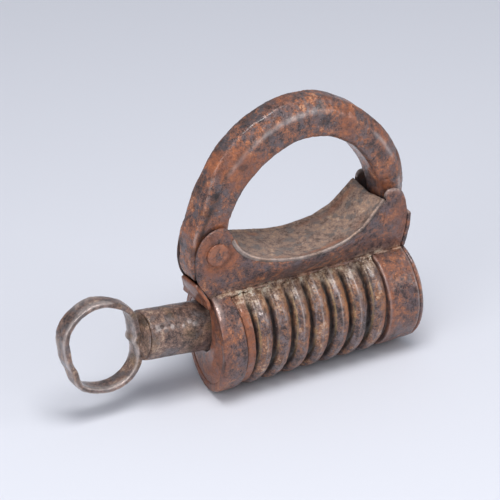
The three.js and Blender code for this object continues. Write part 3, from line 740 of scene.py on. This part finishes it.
# ---------------------------------------------------------------------------
# End straps: one leans out below the hinge and spreads over the keyhole plate,
# the other stands on the toe end's disc.  They close the neck's two ends.
# ---------------------------------------------------------------------------
def box_section(count, squareness):
    """Points round a section from a square to a circle: cosines and sines to a power."""
    around = np.linspace(0, 2 * math.pi, count, endpoint=False)
    shaped = (lambda value: np.sign(value) * np.abs(value) ** squareness)
    return shaped(np.cos(around)), shaped(np.sin(around))


def strap_grid(line, half_thick, half_wide):
    """A flat bar carried along a line in the XZ plane: thick across the line, wide along Y, and
    rounded off at its two ends."""
    way = np.gradient(line, axis=0)
    way = way / np.linalg.norm(way, axis=1, keepdims=True)
    out = np.stack([way[:, 1], -way[:, 0]], -1)
    far = np.minimum(np.arange(len(line)), np.arange(len(line))[::-1]) * np.linalg.norm(line[1] - line[0])
    tip = rounded_edge(far, 1.0, 0.03)[:, None]
    across, along = box_section(72, 0.35)
    depth = across * half_thick * tip
    x = line[:, :1] + out[:, :1] * depth
    z = line[:, 1:] + out[:, 1:] * depth
    y = along * (half_wide[:, None] - (1 - tip) * 0.8)
    return np.stack([x, y + 0 * x, z], -1)


hinge_strap_line = softened([(-6.0, 16.6), (-6.2, 19.6), (-9.3, 26.0)], 0.35, 8, False)
hinge_strap_half = np.interp(hinge_strap_line[:, 1], [16.6, 20, 26], [9.6, 8.8, 5.2])
strap = strap_grid(hinge_strap_line, 0.85, hinge_strap_half)
skin(
    "hinge_end_tongue", forged(strap, False, 0.12, 0.05, 0.1, 10.0), neck_iron, "lock_body",
    # A painted highlight along the tongue's two edges.
    "forged_iron", ["hinge_end_strap"], orange=0.85, ridge=bell(np.abs(strap[..., 1]), 5.1, 0.3) * 0.3,
)
toe_strap_line = softened([(81.1, 19.0), (81.1, 35.5)], 0.35, 0, False)
toe_strap_half = np.interp(toe_strap_line[:, 1], [19, 21, 30, 34.6, 35.5], [6.2, 6.6, 9.7, 10.3, 9.8])
strap = strap_grid(toe_strap_line, 1.1, toe_strap_half)
skin(
    "toe_end_wall", forged(strap, False, 0.12, 0.05, 0.1, 11.0), neck_iron, "lock_body",
    "forged_iron", ["toe_end_strap"], orange=ease(lumps(strap, 7, 1), -0.2, 0.5) * 0.6,
    # A painted highlight along the wall's top edge.
    ridge=bell(strap[..., 2], 35.4, 0.6) * 0.5,
)

# ---------------------------------------------------------------------------
# Brazing beads: spelter that ran along the cheeks' feet when the lock was
# brazed, left lumpy, tan and green.
# ---------------------------------------------------------------------------
BEAD_START, BEAD_END = -0.8, 80.2
bead_x = np.linspace(BEAD_START, BEAD_END, 340)[:, None]
bead_angle = np.linspace(0, 2 * math.pi, 26, endpoint=False)[None, :]
for side, name in ((-1, "front_brazing_bead"), (1, "rear_brazing_bead")):
    spine = np.stack([bead_x, side * 6.5 + 0 * bead_x, 19.35 + 0 * bead_x], -1)
    swell = 0.85 + 0.6 * lumps(spine, 4.1, 3 * side) + 0.4 * lumps(spine, 1.6, 8)
    swell = swell * rounded_edge(np.minimum(bead_x - BEAD_START, BEAD_END - bead_x), 1.2, 0.03)
    drift = 0.35 * lumps(spine, 5, 2)
    y = side * (6.5 + drift + swell * np.cos(bead_angle))
    z = 19.35 - 0.3 * drift + 0.8 * swell * np.sin(bead_angle)
    bead = np.stack([bead_x + 0 * y, y, z], -1)
    skin(
        name, forged(bead, False, 0.1, 0.12, 0.1, 12.0), barrel_iron, "lock_body", "barrel_iron",
        crust=0.6 + 0.5 * lumps(bead, 4, 6), orange=0.5,
    )

# ---------------------------------------------------------------------------
# Hinge rivet: a pin through both ears and the shackle's knuckle, its ends
# hammered to low uneven domes.
# ---------------------------------------------------------------------------
SHACKLE_TONES = [(50, 35, 33), (84, 58, 52), (118, 82, 70), (142, 92, 68), (166, 96, 58), (190, 138, 104)]
shackle_iron = rust_iron("shackle_iron", SHACKLE_TONES, (104, 98, 102), grey_share=0.7, gloss=0.7)
head = [(0.01, 8.8), (2.2, 8.75), (3.6, 8.6), (4.5, 8.25), (4.9, 7.7), (3.2, 7.2)]
rivet_outline = softened(head + [(radius, -y) for radius, y in head[::-1]], 0.3, 3, False)
rivet_angle = np.linspace(0, 2 * math.pi, 96, endpoint=False)[None, :]
rivet_radius, rivet_y = rivet_outline[:, :1], rivet_outline[:, 1:]
rivet = np.stack([
    PIVOT[0] + rivet_radius * np.cos(rivet_angle), rivet_y + 0 * rivet_angle,
    PIVOT[1] + rivet_radius * np.sin(rivet_angle),
], -1)
skin(
    "hinge_rivet_pin", forged(rivet, False, 0.22, 0.06, 0.1, 14.0), shackle_iron, "lock_body",
    "shackle_iron", ["hinge_rivet"],
    orange=0.15 + 0.85 * ease(rivet_radius, 1.8, 3.4) + 0 * rivet_angle,
    # A painted highlight round the head's dome.
    ridge=bell(rivet_radius, 3.6, 0.6) * 0.1 + 0 * rivet_angle,
    # Painted shade under the head's rim.
    hollow=ease(rivet_radius, 4.5, 4.8) * 0.5 + 0 * rivet_angle,
)

# ---------------------------------------------------------------------------
# Shackle: a heavy forged bar bent to an arch and thickest at the top.  Its left
# leg is the hinge's knuckle, and its right leg a slim curved toe, whose eye the
# bolt passes through.
# ---------------------------------------------------------------------------
ARCH_X, ARCH_Z = 36.2, 44.6
TOE_INNER, TOE_OUTER, TOE_BOTTOM = 73.4, 80.5, math.radians(35.5)
TOE_JOINT = math.radians(24.5)
TOE_WIDTH = 9
TILT = math.radians(6.2)
CROSSING_X = 50
LEG = np.array([  # height, outer X, inner X, width
    (27.1, -9.0, -8.6, 6), (27.6, -9.6, -7.6, 8.6), (28.6, -10.1, -6.2, 9.6), (30.2, -10.5, -4.4, 10.1),
    (32.0, -10.7, 1.5, 10.3), (34, -10.8, 3.6, 10.4), (37.6, -10.9, 5, 10.6), (41, -10.9, 4.7, 10.8),
    (44, -10.8, 4.5, 11),
])
SHOULDER = np.array([  # the same, down the other leg
    (44.2, 82.2, 70.8, 12.6), (42.5, 82.3, 70.9, 12.4), (40, 82.1, 71.3, 11.8), (38.2, 81.2, 72.0, 10.8),
    (37, 80.2, 73.0, 9.6), (35.8, 79.5, 73.0, 9.2),
])
ARCH_INNER = np.array([  # degrees from the right leg, and the inner face's radius
    (0, 34.6), (14, 32.8), (26, 32), (50, 30.9), (76, 30.2), (90, 29.7), (104, 29.1), (118, 28.5),
    (134, 28.5), (150, 29.4), (164, 30.6), (180, 31.7),
])
ARCH_OUTER = np.array([
    (0, 46.8), (14, 46), (26, 45.3), (38, 44.3), (50, 44.2), (62, 44.6), (76, 45.6), (90, 45.7),
    (104, 45.6), (118, 45.3), (134, 45.1), (150, 44.5), (164, 43.9), (172, 44.8), (180, 47.2),
])
ARCH_WIDTH = np.array([
    (0, 12.6), (26, 13), (76, 14), (104, 14.4), (118, 14.2), (134, 13.8), (150, 12.6), (164, 11.6),
    (180, 11),
])


def stations(place, outward, half, wide, loaf):
    """Rows of a bar's stations: a place and outward direction in the XZ plane, half the thickness
    that way, the width along Y, and how much the section is a loaf, not a box."""
    columns = np.broadcast_arrays(place[0], place[1], outward[0], outward[1], half, wide, loaf)
    return np.stack([np.asarray(column, float) for column in columns], -1)


def upright(table, side, spacing=0.3):
    """Stations up or down a leg's table.  The leg's outer face is towards side, -1 or 1 along X."""
    steps = np.linspace(0, 1, max(int(np.ptp(table[:, 0]) / spacing), 2))
    rise = (table[:, 0] - table[0, 0]) / (table[-1, 0] - table[0, 0])
    height, outer, inner, wide = (np.interp(steps, rise, column) for column in table.T)
    loaf = 0.0 if side < 0 else 1.0
    return stations(((outer + inner) / 2, height), (side, 0), np.abs(outer - inner) / 2, wide, loaf)


degrees = np.linspace(180, 0, 340)[1:-1]
arc = np.radians(degrees)
inner, outer, wide = (np.interp(degrees, *table.T) for table in (ARCH_INNER, ARCH_OUTER, ARCH_WIDTH))
middle = (inner + outer) / 2
arch_place = (ARCH_X + middle * np.cos(arc), ARCH_Z + middle * np.sin(arc))
arch_loaf = 1 - ease(degrees, 138, 168)
arch = stations(arch_place, (np.cos(arc), np.sin(arc)), (outer - inner) / 2, wide, arch_loaf)

toe_angle = np.linspace(0.05, TOE_JOINT, 80)  # below the pivot's level
toe_middle, toe_half = (TOE_INNER + TOE_OUTER) / 2, (TOE_OUTER - TOE_INNER) / 2
toe_tip = rounded_edge((TOE_JOINT - toe_angle) * toe_middle, 2.2, 0.05)
toe_way = (np.cos(toe_angle), -np.sin(toe_angle))
toe_place = (PIVOT[0] + toe_middle * toe_way[0], PIVOT[1] + toe_middle * toe_way[1])
toe = stations(toe_place, toe_way, toe_half * toe_tip, TOE_WIDTH - 1.5 * (1 - toe_tip), 0.3)
bar = np.concatenate([upright(LEG, -1), arch, upright(SHOULDER, 1), toe])
for _ in range(40):  # eases the joints between the stretches
    bar[2:-2] = (bar[1:-3] + 2 * bar[2:-2] + bar[3:-1]) / 4
half_box = [(-1, 0), (-1, 0.86), (-0.86, 1), (0, 1), (0.86, 1), (1, 0.86), (1, 0)]
half_loaf = [(-1, 0), (-1, 0.74), (-0.82, 0.94), (0.3, 1), (0.42, 0.98), (1, 0.5), (1, 0)]


def whole_section(half):
    """Half a section's corners and their mirror image, softened to the same number of points."""
    corners = np.array(half + [(radial, -side) for radial, side in half[-2:0:-1]], float)
    length = np.linalg.norm(np.diff(np.vstack([corners, corners[:1]]), axis=0), axis=1).sum()
    return softened(corners, length / 120, 5, True)


box, loaf = whole_section(half_box), whole_section(half_loaf)
place_x, place_z, out_x, out_z, half, wide, share = (column[:, None] for column in bar.T)
radial = box[None, :, 0] * (1 - share) + loaf[None, :, 0] * share
sideways = box[None, :, 1] * (1 - share) + loaf[None, :, 1] * share
shackle = np.stack([
    place_x + out_x * half * radial, wide / 2 * sideways, place_z + out_z * half * radial,
], -1)
# edge_line and at_apex place a painted highlight along the bar's edges and ridge, brightest at the apex.
box_edges = np.maximum(bell(radial, 0.92, 0.08), bell(radial, -0.92, 0.08))
edge_line = np.where(share > 0.5, bell(radial, 0.36, 0.11), box_edges)
edge_line = edge_line * ease(np.abs(sideways), 0.8, 0.95)
# The toe leg where it goes down into the neck, painted dark as shade.
in_lock = ease(-shackle[..., 2], -40, -34) * ease(shackle[..., 0], 20, 40)
at_apex = bell(shackle[..., 0], 33, 16) * ease(shackle[..., 2], 66, 74)
at_apex = at_apex * ease(lumps(shackle, 2.5, 4), -0.6, 0.3)
left_corner = bell(radial, 0.55, 0.2) * ease(-sideways, 0.85, 0.97) * (1 - ease(shackle[..., 0], 4, 14))
skin(
    "shackle_bow", forged(shackle, False, 0.24, 0.07, 0.18, 15.0), shackle_iron, "shackle",
    "shackle_iron", ["shackle"],
    ridge=edge_line * (ease(lumps(shackle, 9, 3), -0.3, 0.5) * 0.8 + at_apex) * (1 - in_lock),
    orange=ease(lumps(shackle, 8, 6), 0.0, 0.6) * 0.8,
    # Painted shade inside the neck, dark rust patches, and pits along the left leg's corner.
    hollow=in_lock * 0.5 + ease(lumps(shackle, 5, 21), 0.4, 0.7) * 0.5
    + left_corner * ease(lumps(shackle, 4, 31), -0.3, 0.2) * 0.9,
)

# The toe's eye: on each face an outline with round corners joined to the bolt's bore.  Angles are
# below the level through the pivot, and the bolt's axis, which is tilted, passes pivot_to_bolt
# from the pivot.  So a point of the bore lies at the tilt plus the arcsine of its distance from
# the pivot across the axis, over its reach from the pivot.
pivot_to_bolt = PIVOT[1] * math.cos(TILT) - (CROSSING_X - PIVOT[0]) * math.sin(TILT)
BORE = 4.0
FACE_STEPS, SIDE_STEPS = 12, 18
eye_turn = np.linspace(0, 2 * math.pi, 96, endpoint=False)[None, :]
steps = np.linspace(0, 1, FACE_STEPS)
reach = np.concatenate([
    np.full(FACE_STEPS, TOE_INNER), np.linspace(TOE_INNER + 0.5, TOE_OUTER - 0.5, SIDE_STEPS),
    np.full(FACE_STEPS, TOE_OUTER), np.linspace(TOE_OUTER, TOE_INNER, FACE_STEPS + 2)[1:-1],
])[:, None]
to_bore = np.concatenate([1 - steps, np.zeros(SIDE_STEPS), steps, np.ones(FACE_STEPS)])[:, None]
bore_angle = TILT + np.arcsin((pivot_to_bolt + BORE * np.cos(eye_turn)) / reach)
eye_middle = TILT + math.asin(pivot_to_bolt / toe_middle)
eye_start = TOE_JOINT - 0.035  # the eye overlaps the bar a little here
eye_reach = np.where(np.cos(eye_turn) > 0, TOE_BOTTOM - eye_middle, eye_middle - eye_start) * toe_middle
squarish = np.abs(np.cos(eye_turn) / eye_reach) ** 6 + np.abs(np.sin(eye_turn) / (TOE_WIDTH / 2)) ** 6
inset = 0.25 * ((reach < TOE_INNER + 0.1) | (reach > TOE_OUTER - 0.1))
outline = squarish ** (-1 / 6) - inset
outline_angle = eye_middle + outline * np.cos(eye_turn) / toe_middle
eye_angle = outline_angle * (1 - to_bore) + bore_angle * to_bore
eye_side = (outline * (1 - to_bore) + BORE * to_bore) * np.sin(eye_turn)
eye = np.stack([
    PIVOT[0] + reach * np.cos(eye_angle), eye_side, PIVOT[1] - reach * np.sin(eye_angle),
], -1)
skin(
    "shackle_toe_eye", forged(eye, True, 0.03, 0.02, 0.0, 16.0), shackle_iron, "shackle",
    # The eye lies in the neck's slot: painted shade over it, darkest in the bore.
    "shackle_iron", wrap_u=True, hollow=0.5 + 0.4 * (to_bore > 0.98) + 0 * eye_turn,
)

# ---------------------------------------------------------------------------
# Bolt and inner plates: a forged bar with a wire thread, its pinned collar,
# the spring, and two plates across the barrel.  All are given dark tones, and
# are seen only through the keyhole and the toe's slot.
# ---------------------------------------------------------------------------
DARK_TONES = [(22, 18, 17), (34, 27, 25), (48, 38, 34), (62, 48, 42), (78, 58, 46), (92, 70, 54)]
inner_iron = rust_iron("inner_iron", DARK_TONES, (84, 84, 88), grey_share=0.3, gloss=0.4)
for node in ("key_stop_plate", "bolt_guide_plate", "bolt_rod", "bolt_thread", "bolt_flange",
             "bolt_flange_pin", "key_nut"):
    refinish(node, inner_iron)
STEEL_TONES = [(40, 40, 43), (56, 56, 60), (72, 72, 76), (90, 88, 90), (104, 96, 92), (118, 104, 94)]
spring_steel = rust_iron("spring_steel", STEEL_TONES, (120, 122, 128), grey_share=0.6, gloss=0.7)
refinish("bolt_spring", spring_steel)

# ---------------------------------------------------------------------------
# Key: a rolled and brazed tube with a bush in its nose, a plug in its tail,
# and a bow bent from flat bar whose ends meet and turn in at the plug.
# ---------------------------------------------------------------------------
KEY_TONES = [(42, 32, 30), (72, 55, 50), (102, 80, 72), (124, 96, 84), (142, 112, 96), (172, 146, 126)]
key_iron = rust_iron("key_iron", KEY_TONES, (118, 110, 110), grey_share=0.5, gloss=0.75)


def on_key_axis(points):
    """Points on the key's tilted axis moved to the lock's frame: X along the axis to the toe from
    where it crosses the barrel's, Y to the rear, Z up from it."""
    along, y, up = np.moveaxis(np.asarray(points, float), -1, 0)
    x = CROSSING_X + along * math.cos(TILT) + up * math.sin(TILT)
    return np.stack([x, y, -along * math.sin(TILT) + up * math.cos(TILT)], -1)


STEM_TAIL, STEM_NOSE = -80.9, -29.5
STEM_INSIDE, STEM_OUTSIDE = 7.4, 9.5
stem_profile = softened(
    [
        (STEM_TAIL, STEM_INSIDE), (STEM_TAIL, STEM_OUTSIDE), (STEM_NOSE, STEM_OUTSIDE),
        (STEM_NOSE, STEM_INSIDE),
    ],
    0.4, 3, True,
)
stem = on_key_axis(about_x(stem_profile, FULL_TURN[::2]))
# A painted glint line along the tube's side, where light catches it.
stem_glint = bell(FULL_TURN[::2], 1.71 * math.pi, 0.11) * 1.6 * ease(lumps(stem, 1.5, 3), -0.1, 0.3)
skin(
    "key_tube", forged(stem, True, 0.13, 0.05, 0.1, 17.0), key_iron, "key", "key_iron", ["key_stem"],
    wrap_u=True, ridge=stem_glint * (1 - ease(stem[..., 0], -14, -9)),
    brass=ease(lumps(stem, 5, 7), 0.2, 0.8) * 0.3,
    # Painted shadow on the tube near and inside the keyhole, cast by the neck.
    hollow=ease(stem[..., 0], -12, -3) * 0.75 * ease(lumps(stem, 4, 13), -0.9, 0.2),
)
plug_profile = softened([
    (STEM_TAIL + 2, 0.01), (STEM_TAIL + 2, 7.6), (STEM_TAIL - 0.1, 8.0), (STEM_TAIL - 0.3, 9.0),
    (STEM_TAIL - 1.0, 7.4), (STEM_TAIL - 2.2, 4.6), (STEM_TAIL - 2.7, 0.01),
], 0.3, 3, False)
plug = on_key_axis(about_x(plug_profile, FULL_TURN[::3]))
skin(
    "key_tail_plug", forged(plug, False, 0.2, 0.08, 0.1, 18.0), key_iron, "key", "key_iron",
    ["key_end_plug"], brass=0.15 + 0.15 * lumps(plug, 3, 2),
    # A painted highlight along the plug's rim.
    ridge=bell(np.abs(plug[..., 1]), 8.6, 0.5) * 0.3,
)

BOW_ALONG, BOW_UP = -98.1, -0.9
bow_angle = np.linspace(0, 2 * math.pi, 360, endpoint=False)


def near_angle(at, width):
    """A hump round the bow about an angle."""
    apart = np.abs(np.mod(bow_angle - at + math.pi, 2 * math.pi) - math.pi)
    return bell(apart, 0, width)


from_stem = np.minimum(bow_angle, 2 * math.pi - bow_angle)
BOW_DENTS = [  # angle, width and height of each hump in the bow
    (3.15, 0.35, -1.7), (4.2, 0.35, 1.3), (0.02, 0.5, -1.6), (0.02, 0.1, -1.1), (0.9, 0.35, 1.2),
    (2.3, 0.6, -1.3), (3.8, 0.35, -1.4),
]
bow_radius = 17.1 + 2 * np.cos(2 * (bow_angle - 2.25))
for at, width, height in BOW_DENTS:
    bow_radius = bow_radius + height * near_angle(at, width)
bow_line = np.stack([
    BOW_ALONG + bow_radius * np.cos(bow_angle), BOW_UP + bow_radius * np.sin(bow_angle),
], -1)
bow_way = np.roll(bow_line, -1, 0) - np.roll(bow_line, 1, 0)
bow_way = bow_way / np.linalg.norm(bow_way, axis=1, keepdims=True)
bow_out = np.stack([bow_way[:, 1], -bow_way[:, 0]], -1)
across, along = box_section(56, 0.36)
thick = 1.2 + 0.12 * np.sin(2 * bow_angle + 1)[:, None]
BOW_HALF_WIDTH = 3.7
bow = np.stack([
    bow_line[:, :1] + bow_out[:, :1] * across * thick, BOW_HALF_WIDTH * along + 0 * bow_line[:, :1],
    bow_line[:, 1:] + bow_out[:, 1:] * across * thick,
], -1)
bow = on_key_axis(bow)
corner = (np.abs(across * along) * 2)[None, :] ** 3
skin(
    "key_bow_ring", forged(bow, True, 0.16, 0.05, 0.1, 19.0), key_iron, "key", "key_iron",
    ["key_bow"], wrap_u=True,
    # A painted highlight along the bar's corners.
    ridge=corner * ease(lumps(bow, 6, 5), -0.5, 0.4) * 0.8,
    brass=ease(lumps(bow, 5, 9), 0.1, 0.8) * 0.5 + bell(from_stem, 0, 0.2)[:, None] * 0.5,
    hollow=bell(from_stem, 0, 0.04)[:, None] * 0.8,
)
